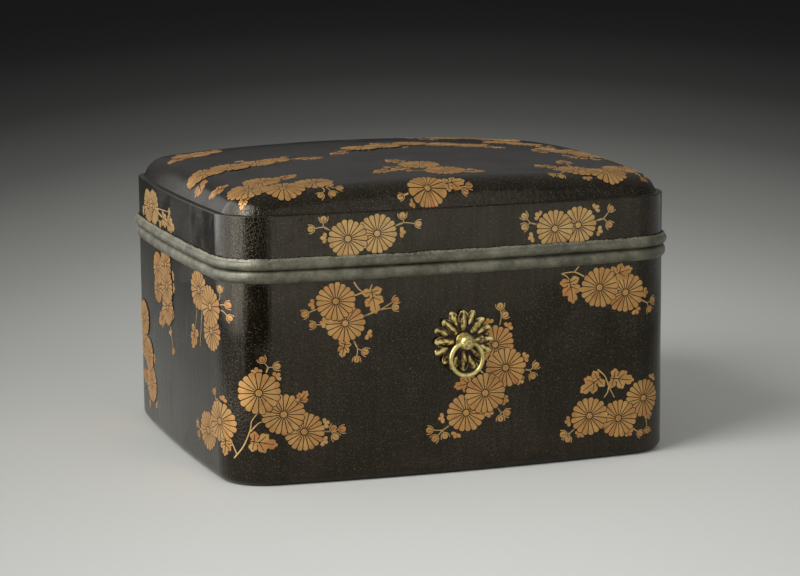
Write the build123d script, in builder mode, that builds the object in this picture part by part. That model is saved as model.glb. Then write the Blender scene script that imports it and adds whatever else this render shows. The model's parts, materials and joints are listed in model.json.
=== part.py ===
from build123d import *
from math import asin, atan, cos, degrees, hypot, radians, sqrt, tan
import os

os.makedirs("parts", exist_ok=True)

# A lacquered cosmetic box with a lift-off crowned lid, a hanging tray and a ring fitting on each long side.
# Millimetres. The origin is the middle of the underside, +Z is up and the front fitting faces -Y.

# Plan of the box: a rectangle with bowed sides and rounded corners
half_length = 126.4  # centre to the crossing of the bowed sides, along X
half_depth = 107.8  # the same, along Y
long_side_bow = 7.0  # how far the front and back stand out in the middle
short_side_bow = 4.1
corner_radius = 26.5

# Heights
seam_height = 115.8  # where lid and body meet
lid_wall_height = 28.9  # from the seam to the ledge round the crown
base_edge_round = 5.0

# Wooden shells
wall = 6.0
floor_thickness = 7.0
ledge_width = 3.4  # the narrow ledge round the foot of the crown
ledge_round = 0.8

# Crown of the lid
crown_corner_height = 7.4  # above the ledge, over the corners
crown_swell_length = 6.4  # how much the top swells along X
crown_swell_depth = 4.9  # the same, along Y
crown_side_slope = 24.6  # degrees from upright
crown_shoulder = 14.0  # rounding where the side turns into the top
crown_thickness = 5.0
crown_seat = 5.1  # width of the crown's foot
crown_inner_shoulder = 5.0

# Soft metal rims, folded over both edges of the seam
rim_sheet = 0.8
rim_height = 6.8
body_rim_proud = 2.2
lid_rim_proud = 3.0
rim_seam_round = 0.9
rim_outer_round = 1.6

# Hanging tray
rebate_width = 2.4  # step in the inner edge of body and lid that takes the tray's lip
rebate_depth = 4.0
fit_gap = 0.4
tray_wall_thickness = 3.0
tray_floor_thickness = 3.0
tray_edge_round = 2.0
tray_sheet = 0.5
tray_rise = 4.0  # how far the lip stands above the seam, inside the lid
tray_clearance = 1.8  # above the washers of the ring fittings

# Ring fittings
fitting_height = 73.0
petal_count = 8  # in each of the two layers
lower_rosette_radius = 17.0
upper_rosette_radius = 16.4
lower_petal_half_width = 2.0
upper_petal_half_width = 2.5
petal_root_half_width = 1.5
petal_plate = 0.7
petal_relief = 0.9
petal_border = 0.3  # flat edge left round the raised part
petal_bevel = 50.0  # degrees from upright
rosette_disc_radius = 6.5
collar_radius = 4.6
collar_thickness = 0.8
knob_radius = 4.2
knob_lift = 3.4  # from the collar to the middle of the knob
knob_foot_radius = 2.2
neck_radius = 1.7
neck_clearance = 0.1
ring_radius = 9.0
ring_wire_radius = 1.2
ring_clearance = 0.3
seat_gap = 0.05  # behind the flat washer, where the wall is hollow
washer_radius = 7.0
washer_thickness = 0.8
leg_length = 6.2
leg_width = 3.0
leg_thickness = 1.1
leg_slit = 0.4

cut_margin = 1.0  # how far a cutting shape runs past what it cuts
same_height = 0.01  # faces nearer than this are on one level

# Places that follow from the sizes above
front_face = half_depth + long_side_bow
side_face = half_length + short_side_bow
long_arc = (half_length**2 + long_side_bow**2) / (2 * long_side_bow)
short_arc = (half_depth**2 + short_side_bow**2) / (2 * short_side_bow)
ledge_height = seam_height + lid_wall_height
crown_top = ledge_height + crown_corner_height + crown_swell_length + crown_swell_depth
rebate_inset = wall - rebate_width
body_rebate_floor = seam_height - rebate_depth
lid_rebate_top = seam_height + tray_rise + fit_gap
lip_inset = rebate_inset + rim_sheet + fit_gap
tray_inset = wall + fit_gap
tray_inner = tray_inset + tray_wall_thickness
tray_top = seam_height + tray_rise
tray_bottom = fitting_height + washer_radius + tray_clearance
rosette_layer = petal_plate + petal_relief
collar_top = 2 * rosette_layer + collar_thickness
neck_bore = neck_radius + neck_clearance
washer_top = wall + seat_gap + washer_thickness


def outline(inset):
    # The plan, drawn in by inset all round: where four large discs overlap, with rounded corners
    with BuildSketch(Plane.XY) as plan:
        with Locations((0, front_face - long_arc)):
            Circle(long_arc - inset)
        with Locations((0, long_arc - front_face)):
            Circle(long_arc - inset, mode=Mode.INTERSECT)
        for side in (-1, 1):
            with Locations(Location((side * (side_face - short_arc), 0, 0), (0, 0, 90))):
                Circle(short_arc - inset, mode=Mode.INTERSECT)
        fillet(plan.vertices(), corner_radius - inset)
    return plan.sketch


def board(inset, bottom, top):
    with BuildSketch(Plane.XY.offset(bottom)) as shape:
        add(outline(inset))
    extrude(shape.sketch, amount=top - bottom)


def hoop(outer_inset, inner_inset, bottom, top, mode=Mode.ADD):
    # A band that follows the plan, between two insets and two heights
    with BuildSketch(Plane.XY.offset(bottom)) as shape:
        add(outline(outer_inset))
        add(outline(inner_inset), mode=Mode.SUBTRACT)
    extrude(shape.sketch, amount=top - bottom, mode=mode)


def outer_edges(piece, height):
    # The edges round the outside of a piece's flat face at one height
    flat = piece.faces().filter_by(Axis.Z)
    level = flat.filter_by_position(Axis.Z, height - same_height, height + same_height)
    return level.sort_by(SortBy.AREA)[-1].outer_wire().edges()


def save(piece, name):
    piece.label = name
    export_step(piece, f"parts/{name}.step")
    print(name, "volume", round(piece.volume))


# Body: a bent wooden wall, its floor board and the rim over its edge
with BuildPart() as body_wall:
    hoop(0, wall, 0, seam_height - rim_sheet)
    hoop(rebate_inset, wall + cut_margin, body_rebate_floor, seam_height, mode=Mode.SUBTRACT)
    fillet(outer_edges(body_wall, 0), base_edge_round)
    with BuildSketch(Plane.XZ):
        with Locations((0, fitting_height)):
            Circle(neck_bore)
    extrude(amount=front_face + cut_margin, both=True, mode=Mode.SUBTRACT)
save(body_wall.part, "body_wall")

with BuildPart() as body_floor:
    board(wall, 0, floor_thickness)
save(body_floor.part, "body_floor")

with BuildPart() as body_rim:
    hoop(-body_rim_proud, 0, seam_height - rim_height, seam_height)
    hoop(0, rebate_inset, seam_height - rim_sheet, seam_height)
    hoop(rebate_inset, rebate_inset + rim_sheet, body_rebate_floor, seam_height)
    fillet(outer_edges(body_rim, seam_height), rim_seam_round)
    fillet(outer_edges(body_rim, seam_height - rim_height), rim_outer_round)
save(body_rim.part, "body_rim")

# Lid: a bent wooden wall with its rim, and the crown board on top of it
with BuildPart() as lid_wall:
    hoop(0, wall, seam_height + rim_sheet, ledge_height)
    hoop(rebate_inset, wall + cut_margin, seam_height, lid_rebate_top, mode=Mode.SUBTRACT)
    fillet(outer_edges(lid_wall, ledge_height), ledge_round)
save(lid_wall.part, "lid_wall")

with BuildPart() as lid_rim:
    hoop(-lid_rim_proud, 0, seam_height, seam_height + rim_height)
    hoop(0, rebate_inset, seam_height, seam_height + rim_sheet)
    hoop(rebate_inset, rebate_inset + rim_sheet, seam_height, lid_rebate_top)
    fillet(outer_edges(lid_rim, seam_height), rim_seam_round)
    fillet(outer_edges(lid_rim, seam_height + rim_height), rim_outer_round)
save(lid_rim.part, "lid_rim")


def crown_solid(inset, drop, shoulder):
    # Sloping sides from the plan at one inset, under a top that is an arc along X turned about an axis below
    top = crown_top - drop
    turning_radius = (front_face**2 + crown_swell_depth**2) / (2 * crown_swell_depth)
    turning_axis = Axis((0, 0, top - turning_radius), (1, 0, 0))
    half_turn = degrees(asin((front_face + cut_margin) / (turning_radius - crown_swell_length)))
    start = Plane(turning_axis.position, x_dir=(1, 0, 0), z_dir=(0, -1, 0)).rotated((-half_turn, 0, 0))
    with BuildPart() as block:
        rise = crown_top - ledge_height + cut_margin
        with BuildSketch(Plane.XY.offset(ledge_height)):
            add(outline(inset))
        with BuildSketch(Plane.XY.offset(ledge_height + rise)):
            add(outline(inset + rise * tan(radians(crown_side_slope))))
        loft(ruled=True)
        with BuildSketch(start):
            with BuildLine():
                edge = turning_radius - crown_swell_length
                low = turning_radius - (top - ledge_height) - cut_margin
                arc = ThreePointArc((-side_face, edge), (0, turning_radius), (side_face, edge))
                Polyline(arc @ 1, (side_face, low), (-side_face, low), arc @ 0)
            make_face()
        revolve(axis=turning_axis, revolution_arc=2 * half_turn, mode=Mode.INTERSECT)
        roof = block.faces().sort_by(Axis.Z)[-1]
        fillet(roof.outer_wire().edges(), shoulder)
    return block.part


# The shoulder stays above the ledge at the corners, where the crown is lowest
corner_fall = atan(hypot(2 * crown_swell_length / side_face, 2 * crown_swell_depth / front_face))
corner_turn = radians(90 - crown_side_slope) - corner_fall
corner_side = crown_corner_height / cos(radians(crown_side_slope))
largest_shoulder = 0.95 * corner_side / tan(corner_turn / 2)

with BuildPart() as lid_crown:
    add(crown_solid(ledge_width, 0, min(crown_shoulder, largest_shoulder)))
    add(
        crown_solid(ledge_width + crown_seat, crown_thickness, crown_inner_shoulder),
        mode=Mode.SUBTRACT,
    )
save(lid_crown.part, "lid_crown")

# Tray: it hangs by a lip in the body's rebate, and the lip guides the lid
with BuildPart() as tray_wall:
    hoop(tray_inset, tray_inner, tray_bottom, body_rebate_floor)
    hoop(lip_inset, tray_inner, body_rebate_floor, seam_height)
    hoop(lip_inset + tray_sheet, tray_inner - tray_sheet, seam_height, tray_top - tray_sheet)
    fillet(outer_edges(tray_wall, tray_bottom), tray_edge_round)
save(tray_wall.part, "tray_wall")

with BuildPart() as tray_floor:
    board(tray_inner, tray_bottom, tray_bottom + tray_floor_thickness)
save(tray_floor.part, "tray_floor")

with BuildPart() as tray_rim:
    hoop(lip_inset, tray_inner, seam_height, tray_top)
    hoop(
        lip_inset + tray_sheet, tray_inner - tray_sheet, seam_height, tray_top - tray_sheet, mode=Mode.SUBTRACT
    )
save(tray_rim.part, "tray_rim")


def petals(radius, half_width, first_angle):
    # Round-ended petals that stand round the rosette's disc
    shoulder = radius - half_width
    with PolarLocations(0, petal_count, first_angle):
        with BuildSketch(mode=Mode.PRIVATE) as petal:
            with BuildLine():
                tip = ThreePointArc((shoulder, -half_width), (radius, 0), (shoulder, half_width))
                Polyline(tip @ 1, (0, petal_root_half_width), (0, -petal_root_half_width), tip @ 0)
            make_face()
        add(petal.sketch)


def rosette(seat, radius, half_width, first_angle):
    # One pressed layer: a flat plate with a raised disc and raised petals
    with BuildSketch(seat) as plate:
        Circle(rosette_disc_radius)
        petals(radius, half_width, first_angle)
        Circle(neck_bore, mode=Mode.SUBTRACT)
    extrude(plate.sketch, amount=petal_plate)
    with BuildSketch(seat.offset(petal_plate)) as raised:
        petals(radius - petal_border, half_width - petal_border, first_angle)
        Circle(rosette_disc_radius, mode=Mode.SUBTRACT)
    extrude(raised.sketch, amount=petal_relief, taper=petal_bevel)
    with BuildSketch(seat.offset(petal_plate)) as disc:
        Circle(rosette_disc_radius)
        Circle(neck_bore, mode=Mode.SUBTRACT)
    extrude(disc.sketch, amount=petal_relief)


def washer_disc(seat, radius, thickness):
    with BuildSketch(seat) as disc:
        Circle(radius)
        Circle(neck_bore, mode=Mode.SUBTRACT)
    extrude(disc.sketch, amount=thickness)


# The same fitting on the front and on the back
for side, end in ((-1, "front"), (1, "back")):
    seat = Plane((0, side * front_face, fitting_height), x_dir=(-side, 0, 0), z_dir=(0, side, 0))
    pivot = seat.offset(collar_top + knob_lift)

    with BuildPart() as rosette_lower:
        rosette(seat, lower_rosette_radius, lower_petal_half_width, 90 + 180 / petal_count)
    save(rosette_lower.part, f"{end}_rosette_lower")

    with BuildPart() as rosette_upper:
        rosette(seat.offset(rosette_layer), upper_rosette_radius, upper_petal_half_width, 90)
    save(rosette_upper.part, f"{end}_rosette_upper")

    with BuildPart() as collar:
        washer_disc(seat.offset(2 * rosette_layer), collar_radius, collar_thickness)
    save(collar.part, f"{end}_collar")

    with BuildPart() as washer:
        washer_disc(seat.offset(-washer_top), washer_radius, washer_thickness)
    save(washer.part, f"{end}_washer")

    # The post's knob is drilled across for the ring, and its split end is turned over on the washer
    with BuildPart() as ring_post:
        with Locations(pivot.origin):
            Sphere(knob_radius)
        split(bisect_by=seat.offset(collar_top), keep=Keep.TOP)
        with BuildSketch(seat.offset(collar_top)):
            Circle(knob_foot_radius)
        extrude(amount=knob_lift)
        with BuildSketch(seat.offset(-washer_top)):
            Circle(neck_radius)
        extrude(amount=washer_top + collar_top)
        with BuildSketch(seat.offset(-washer_top)):
            Rectangle(leg_width, 2 * leg_length)
        extrude(amount=-leg_thickness)
        with BuildSketch(seat.offset(-washer_top)):
            Rectangle(leg_width, leg_slit)
        extrude(amount=-leg_thickness, mode=Mode.SUBTRACT)
        throat = ring_wire_radius + ring_clearance
        mouth = throat + ring_radius - sqrt(ring_radius**2 - knob_radius**2)
        with BuildSketch(pivot):
            with BuildLine():
                flare = ThreePointArc((-knob_radius, mouth), (0, throat), (knob_radius, mouth))
                Polyline(flare @ 1, (knob_radius, 0), (-knob_radius, 0), flare @ 0)
            make_face()
        revolve(axis=Axis(pivot.origin, (1, 0, 0)), mode=Mode.SUBTRACT)
    save(ring_post.part, f"{end}_ring_post")

    # The ring hangs from the cross hole with its top in the middle of the knob
    with BuildPart() as ring:
        with BuildSketch(Plane(pivot.origin, x_dir=(0, 1, 0), z_dir=(1, 0, 0))):
            Circle(ring_wire_radius)
        revolve(axis=Axis(pivot.origin - Vector(0, 0, ring_radius), (0, 1, 0)))
    save(ring.part, f"{end}_ring")

    print(end, "ring pivot", pivot.origin)
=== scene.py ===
import json
import math
import random

import bpy
import bmesh
from mathutils import Matrix, Vector, noise


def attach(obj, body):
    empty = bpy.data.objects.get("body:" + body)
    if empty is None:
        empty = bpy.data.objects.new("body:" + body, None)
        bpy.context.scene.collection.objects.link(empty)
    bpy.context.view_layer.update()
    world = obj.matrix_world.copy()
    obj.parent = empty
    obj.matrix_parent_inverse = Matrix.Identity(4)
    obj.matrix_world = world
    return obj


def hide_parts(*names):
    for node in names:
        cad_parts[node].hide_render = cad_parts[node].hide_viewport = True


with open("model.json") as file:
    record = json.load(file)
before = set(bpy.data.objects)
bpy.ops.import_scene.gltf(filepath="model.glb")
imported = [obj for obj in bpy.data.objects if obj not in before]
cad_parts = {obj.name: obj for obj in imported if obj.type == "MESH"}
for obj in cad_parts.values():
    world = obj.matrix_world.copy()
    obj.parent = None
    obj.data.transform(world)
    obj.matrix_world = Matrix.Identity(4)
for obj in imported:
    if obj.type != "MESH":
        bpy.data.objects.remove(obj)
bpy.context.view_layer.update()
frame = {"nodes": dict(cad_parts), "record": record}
print("frame loaded:", len(frame["nodes"]), "nodes")

mm = 0.001   # all shapes below are worked out in millimetres and scaled once, in makePiece

plan = {
    "halfLength": 126.4,     # long side up to where its corner would be if it were sharp
    "halfDepth": 107.8,
    "longSideBow": 7.0,
    "shortSideBow": 4.1,
    "cornerRadius": 26.5,
    "seamHeight": 115.8,
    "ledgeHeight": 144.7,
}


# radius of an arc that rises by bow over half its span
def arcRadius(halfSpan, bow):
    return (halfSpan ** 2 + bow ** 2) / (2 * bow)


cornerRadius = plan["cornerRadius"]
frontFace = plan["halfDepth"] + plan["longSideBow"]
sideFace = plan["halfLength"] + plan["shortSideBow"]
longArc = arcRadius(plan["halfLength"], plan["longSideBow"])
shortArc = arcRadius(plan["halfDepth"], plan["shortSideBow"])


def findCorner():
    fromLong, fromShort = longArc - cornerRadius, shortArc - cornerRadius
    a, b = Vector((0, frontFace - longArc)), Vector((sideFace - shortArc, 0))
    gap = (b - a).length
    along = (fromLong ** 2 - fromShort ** 2 + gap ** 2) / (2 * gap)
    away = math.sqrt(fromLong ** 2 - along ** 2)
    way = (b - a) / gap
    side = Vector((-way.y, way.x))
    return max(a + way * along + side * away, a + way * along - side * away, key=lambda p: p.x + p.y)


corner = findCorner()
longAngle = math.asin(corner.x / (longArc - cornerRadius))
shortAngle = math.asin(corner.y / (shortArc - cornerRadius))
longRun = longArc * longAngle
cornerRun = cornerRadius * (math.pi / 2 - longAngle - shortAngle)
quarter = longRun + cornerRun + shortArc * shortAngle


# where a point of the wall is: s runs along the wall from the middle of the front, to the right
def wallAt(s):
    s = (s + 2 * quarter) % (4 * quarter) - 2 * quarter
    run = abs(s)
    back = run > quarter
    if back:
        run = 2 * quarter - run
    if run <= longRun:
        turn = run / longArc
        nx, ny = math.sin(turn), -math.cos(turn)
        x, y = longArc * nx, longArc - frontFace + longArc * ny
    elif run <= longRun + cornerRun:
        turn = longAngle + (run - longRun) / cornerRadius
        nx, ny = math.sin(turn), -math.cos(turn)
        x, y = corner.x + cornerRadius * nx, -corner.y + cornerRadius * ny
    else:
        turn = (quarter - run) / shortArc
        nx, ny = math.cos(turn), -math.sin(turn)
        x, y = sideFace - shortArc + shortArc * nx, shortArc * ny
    if back:
        y, ny = -y, -ny
    if s < 0:
        x, nx = -x, -nx
    return Vector((x, y, 0)), Vector((nx, ny, 0))


def onWall(s, z):
    point, normal = wallAt(s)
    return Vector((point.x, point.y, z)), normal


# the crown's height above the ledge: a sloping side, a wide rounded shoulder and a swelling top
crownForm = {
    "footInset": 3.4,
    "cornerHeight": 6.9,
    "swellLength": 6.4,
    "swellDepth": 4.9,
    "sideSlope": math.radians(24.6),
    "shoulder": 14.0,
    "innerFoot": 8.5,
    "thickness": 5.0,
    "innerShoulder": 5.0,
    "goldInset": 0.15,       # how far inside the foot the gold keeps
    "goldStop": 0.2,         # where a motif that runs down the side ends
    "steps": (26, 22, 20),   # of the mesh along a quarter of the wall: long side, corner, short side
    "flatInset": 24,         # where its rings stop following the wall and shrink to the middle
}
swellArcX = arcRadius(sideFace, crownForm["swellLength"])
swellArcY = arcRadius(frontFace, crownForm["swellDepth"])
crownTop = crownForm["cornerHeight"] + crownForm["swellLength"] + crownForm["swellDepth"]


def insetAt(x, y):
    x, y = abs(x), abs(y)
    dx, dy = x + shortArc - sideFace, y + longArc - frontFace
    if math.atan2(x, dy) > longAngle and math.atan2(y, dx) > shortAngle:
        return cornerRadius - math.hypot(x - corner.x, y - corner.y)
    return min(longArc - math.hypot(x, dy), shortArc - math.hypot(dx, y))


def swellAt(x, y):
    across = swellArcY - (swellArcX - math.sqrt(swellArcX ** 2 - x * x))
    return crownTop - swellArcY + math.sqrt(across ** 2 - y * y)


# the way straight in from the wall, as a unit step in x and y
def inwardAt(x, y, reach):
    gx = insetAt(x + reach, y) - insetAt(x - reach, y)
    gy = insetAt(x, y + reach) - insetAt(x, y - reach)
    size = math.hypot(gx, gy) or 1.0
    return gx / size, gy / size


def crownHeight(x, y, foot=crownForm["footInset"], drop=0.0, radius=crownForm["shoulder"]):
    inset, reach = insetAt(x, y), 0.5
    gx, gy = inwardAt(x, y, reach)
    top = swellAt(x, y) - drop
    topRise = swellAt(x + reach * gx, y + reach * gy) - swellAt(x - reach * gx, y - reach * gy)
    topRise /= 2 * reach
    sideRise = 1 / math.tan(crownForm["sideSlope"])
    c1, c2 = -radius * math.sqrt(1 + sideRise ** 2), -radius * math.sqrt(1 + topRise ** 2)
    centre = (top - topRise * inset + c2 + sideRise * foot - c1) / (sideRise - topRise)
    level = top + topRise * (centre - inset) + c2
    if inset >= centre - radius * math.sin(math.atan(topRise)):
        return top
    if inset <= centre - radius * math.sin(math.atan(sideRise)):
        return (inset - foot) * sideRise
    return level + math.sqrt(max(radius ** 2 - (inset - centre) ** 2, 0))


def onCrown(x, y):
    inset, reach = insetAt(x, y), 0.3
    least = crownForm["footInset"] + crownForm["goldInset"]
    if inset < least:
        gx, gy = inwardAt(x, y, reach)
        x, y = x + gx * (least - inset), y + gy * (least - inset)
    riseX = (crownHeight(x + reach, y) - crownHeight(x - reach, y)) / (2 * reach)
    riseY = (crownHeight(x, y + reach) - crownHeight(x, y - reach)) / (2 * reach)
    return Vector((x, y, plan["ledgeHeight"] + crownHeight(x, y))), Vector((-riseX, -riseY, 1)).normalized()


# meshes: a shape collects closed sheets and tubes, each with a material slot and a tint
def newShape():
    return {"points": [], "faces": [], "slots": [], "tints": []}


def addFaces(shape, faces, slot):
    shape["faces"] += faces
    shape["slots"] += [slot] * len(faces)


def circle(count):
    return [2 * math.pi * j / count for j in range(count)]


# a thin closed sheet between two grids of points
def addSheet(shape, top, bottom, slot=0, tint=0.5):
    rows, cols = len(top), len(top[0])
    start, count = len(shape["points"]), rows * cols
    for grid in (top, bottom):
        for row in grid:
            shape["points"] += row
    shape["tints"] += [tint] * (2 * count)
    faces = []
    for i in range(rows - 1):
        for j in range(cols - 1):
            a = start + i * cols + j
            quad = (a, a + 1, a + cols + 1, a + cols)
            faces += [quad, tuple(count + q for q in reversed(quad))]
    edge = list(range(cols)) + [i * cols + cols - 1 for i in range(1, rows)]
    edge += [(rows - 1) * cols + j for j in range(cols - 2, -1, -1)]
    edge += [i * cols for i in range(rows - 2, 0, -1)]
    for a, b in zip(edge, edge[1:] + edge[:1]):
        faces.append((start + b, start + a, start + count + a, start + count + b))
    addFaces(shape, faces, slot)


# a tube through rings of points, closed to itself where join is set and otherwise capped at both ends
def addRings(shape, rings, slot=0, tint=0.5, join=False):
    start, count = len(shape["points"]), len(rings[0])
    for ring in rings:
        shape["points"] += ring
    faces = []
    for i in range(len(rings) if join else len(rings) - 1):
        a, b = start + i * count, start + (i + 1) % len(rings) * count
        for j in range(count):
            k = (j + 1) % count
            faces.append((a + j, a + k, b + k, b + j))
    total = len(rings) * count
    for first, flip in () if join else ((0, True), (total - count, False)):
        middle = sum((shape["points"][start + first + j] for j in range(count)), Vector()) / count
        shape["points"].append(middle)
        for j in range(count):
            trio = (start + first + j, start + first + (j + 1) % count, start + total)
            faces.append(trio[::-1] if flip else trio)
        total += 1
    shape["tints"] += [tint] * total
    addFaces(shape, faces, slot)


def makePiece(name, shape, materials, body, smooth):
    mesh = bpy.data.meshes.new(name)
    mesh.from_pydata([p * mm for p in shape["points"]], [], shape["faces"])
    mesh.polygons.foreach_set("material_index", shape["slots"])
    tints = mesh.attributes.new("tint", "FLOAT", "POINT")
    tints.data.foreach_set("value", shape["tints"])
    for material in materials:
        mesh.materials.append(material)
    turned = bmesh.new()
    turned.from_mesh(mesh)
    bmesh.ops.recalc_face_normals(turned, faces=turned.faces)
    turned.to_mesh(mesh)
    turned.free()
    mesh.shade_smooth()
    if smooth < 180:
        mesh.set_sharp_from_angle(angle=math.radians(smooth))
    piece = bpy.data.objects.new(name, mesh)
    bpy.context.scene.collection.objects.link(piece)
    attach(piece, body)
    return piece


# materials
def toLinear(hexColour):
    parts = [int(hexColour[i:i + 2], 16) / 255 for i in (1, 3, 5)]
    return tuple(c / 12.92 if c <= 0.04045 else ((c + 0.055) / 1.055) ** 2.4 for c in parts) + (1.0,)


# sets a node's inputs: an output is linked, a text is a hex colour, anything else is the value itself
def setInputs(tree, node, inputs):
    for key, value in inputs.items():
        if isinstance(value, bpy.types.NodeSocket):
            tree.links.new(value, node.inputs[key])
        else:
            node.inputs[key].default_value = toLinear(value) if isinstance(value, str) else value


# adds a node, named without its prefix, and gives back one of its outputs; stops are those of a colour ramp,
# as grey levels or hex colours
def addNode(tree, kind, inputs=None, stops=None, out=0, **settings):
    made = tree.nodes.new("ShaderNode" + kind)
    for key, value in settings.items():
        setattr(made, key, value)
    setInputs(tree, made, inputs or {})
    for k, (place, colour) in enumerate(stops or []):
        element = made.color_ramp.elements[k] if k < 2 else made.color_ramp.elements.new(place)
        element.position = place
        element.color = toLinear(colour) if isinstance(colour, str) else (colour, colour, colour, 1)
    return made.outputs[2] if kind == "Mix" else made.outputs[out]


def newMaterial(name):
    material = bpy.data.materials.new(name)
    material.use_nodes = True
    tree = material.node_tree
    place = addNode(tree, "TexCoord", out="Object")
    return material, tree, tree.nodes["Principled BSDF"], place


colourMix = {"data_type": "RGBA"}
darkening = {"data_type": "RGBA", "blend_type": "MULTIPLY"}
fromTint = {"attribute_name": "tint", "out": "Fac"}

lacquerLook = {
    "colour": "#110e09",
    "brown": "#1a150d",
    "wornRed": "#2a180f",
    "dust": "#575041",
    "speck": "#80765d",
    "crackle": "#383225",
    "drift": 91,        # mm, slow change between the two browns
    "patch": 32.3,      # mm, places where the cracks gather and the surface is duller
    "dustCell": 0.72,   # mm between grains of the sprinkled ground
    "dustBare": 0.52,   # share of those grains that is missing
    "speckCell": 2.4,
    "crackCell": 1.9,   # mm, the net of fine age cracks
    "crackBend": 1.1,   # mm, how far they wander, and over what length
    "crackBendSize": 2.5,
    "wornHeight": 35,   # mm above the table, up to where the foot is rubbed red
    "streak": 1.3,      # mm, run lines of the brush and the cloth ground, drawn a little coarse to show
    "gloss": 0.36,
    "glossTint": "#fff3df",       # the old varnish is a little amber
    "roughness": (0.11, 0.25),    # from polished to dull
    "relief": 0.14,               # mm
}


def blackLacquer():
    # urushi lacquer brushed over cloth and wood, aged and rubbed: a deep olive black that mirrors the floor
    # softly, dusted with fine grains, with a net of hair cracks and faint upright brush lines
    look = lacquerLook
    material, tree, shader, place = newMaterial("brushedBrownBlackLacquer")
    drift = addNode(tree, "TexNoise", {"Vector": place, "Scale": 1000 / look["drift"], "Detail": 5.0})
    patch = addNode(tree, "TexNoise", {"Vector": place, "Scale": 1000 / look["patch"], "Detail": 4.0,
                                       "Distortion": 0.6})
    grains = addNode(tree, "TexVoronoi", {"Vector": place, "Scale": 1000 / look["dustCell"]})
    dots = addNode(tree, "ValToRGB", {0: grains}, [(0.16, 1.0), (0.34, 0.0)])
    pick = addNode(tree, "SeparateColor", {0: grains.node.outputs["Color"]})
    some = addNode(tree, "Math", {0: pick, 1: look["dustBare"]}, operation="GREATER_THAN")
    dust = addNode(tree, "Math", {0: dots, 1: some}, operation="MULTIPLY")
    cells = addNode(tree, "TexVoronoi", {"Vector": place, "Scale": 1000 / look["speckCell"]})
    specks = addNode(tree, "ValToRGB", {0: cells}, [(0.05, 1.0), (0.1, 0.0)])
    bent = addNode(tree, "TexNoise", {"Vector": place, "Scale": 1000 / look["crackBendSize"], "Detail": 2.0})
    warp = addNode(tree, "VectorMath", {0: bent, "Scale": look["crackBend"] * mm}, operation="SCALE")
    warped = addNode(tree, "VectorMath", {0: place, 1: warp}, operation="ADD")
    edges = addNode(tree, "TexVoronoi", {"Vector": warped, "Scale": 1000 / look["crackCell"]},
                    feature="DISTANCE_TO_EDGE")
    net = addNode(tree, "ValToRGB", {0: edges}, [(0.0, 1.0), (0.07, 0.0)])
    where = addNode(tree, "ValToRGB", {0: patch}, [(0.47, 0.0), (0.66, 1.0)])
    cracks = addNode(tree, "Math", {0: net, 1: where}, operation="MULTIPLY")
    height = addNode(tree, "SeparateXYZ", {0: place}, out="Z")
    low = addNode(tree, "MapRange", {"Value": height, "From Min": 0.0, "From Max": look["wornHeight"] * mm,
                                     "To Min": 0.55, "To Max": 0.0})
    worn = addNode(tree, "ValToRGB", {0: patch}, [(0.42, 0.0), (0.7, 1.0)])
    rubbed = addNode(tree, "Math", {0: low, 1: worn}, operation="MULTIPLY")
    colour = addNode(tree, "Mix", {0: drift, 6: look["colour"], 7: look["brown"]}, **colourMix)
    for share, over in ((dust, "dust"), (specks, "speck"), (cracks, "crackle"), (rubbed, "wornRed")):
        colour = addNode(tree, "Mix", {0: share, 6: colour, 7: look[over]}, **colourMix)
    upright = addNode(tree, "Mapping", {0: place, "Scale": (1.0, 1.0, 0.07)})
    lines = addNode(tree, "TexNoise", {"Vector": upright, "Scale": 1000 / look["streak"] / 2, "Detail": 4.0,
                                       "Roughness": 0.6})
    lined = addNode(tree, "Math", {0: lines, 1: 1.7, 2: cracks}, operation="MULTIPLY_ADD")
    grainy = addNode(tree, "Math", {0: dust, 1: 0.2, 2: lined}, operation="MULTIPLY_ADD")
    bump = addNode(tree, "Bump", {"Strength": 0.5, "Distance": look["relief"] * mm, "Height": grainy})
    smooth, rough = look["roughness"]
    dull = addNode(tree, "MapRange", {"Value": patch, "From Min": 0.3, "From Max": 0.7, "To Min": smooth,
                                      "To Max": rough})
    shine = addNode(tree, "MapRange", {"Value": lines, "From Min": 0.35, "From Max": 0.62,
                                       "To Min": look["gloss"] - 0.05, "To Max": look["gloss"] + 0.03})
    setInputs(tree, shader, {"Base Color": colour, "Normal": bump, "Roughness": dull,
                             "Specular IOR Level": shine, "Specular Tint": look["glossTint"]})
    return material


goldLook = {
    "pale": "#cfae74",
    "tan": "#c0904f",
    "red": "#bb6f3e",
    "shade": "#86603a",
    "cloud": 6.67,     # mm, worn places
    "grain": 0.5,      # mm, clumps of gold powder, drawn coarse to show
    "relief": 0.06,    # mm
}


def powderedGold():
    # gold powder dusted on wet lacquer and polished: a soft tan gold, paler or redder from petal to petal,
    # worn in clouds
    look = goldLook
    material, tree, shader, place = newMaterial("powderedGoldOnLacquer")
    tint = addNode(tree, "Attribute", **fromTint)
    tones = [(0.0, look["pale"]), (0.5, look["tan"]), (1.0, look["red"])]
    base = addNode(tree, "ValToRGB", {0: tint}, tones)
    cloud = addNode(tree, "TexNoise", {"Vector": place, "Scale": 1000 / look["cloud"], "Detail": 6.0,
                                       "Roughness": 0.7})
    worn = addNode(tree, "ValToRGB", {0: cloud}, [(0.32, look["shade"]), (0.55, "#ffffff")])
    colour = addNode(tree, "Mix", {0: 0.4, 6: base, 7: worn}, **darkening)
    grit = addNode(tree, "TexNoise", {"Vector": place, "Scale": 1000 / look["grain"] / 2, "Detail": 3.0})
    bump = addNode(tree, "Bump", {"Strength": 0.45, "Distance": look["relief"] * mm, "Height": grit})
    setInputs(tree, shader, {"Base Color": colour, "Normal": bump, "Metallic": 0.4, "Roughness": 0.42})
    return material


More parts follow.
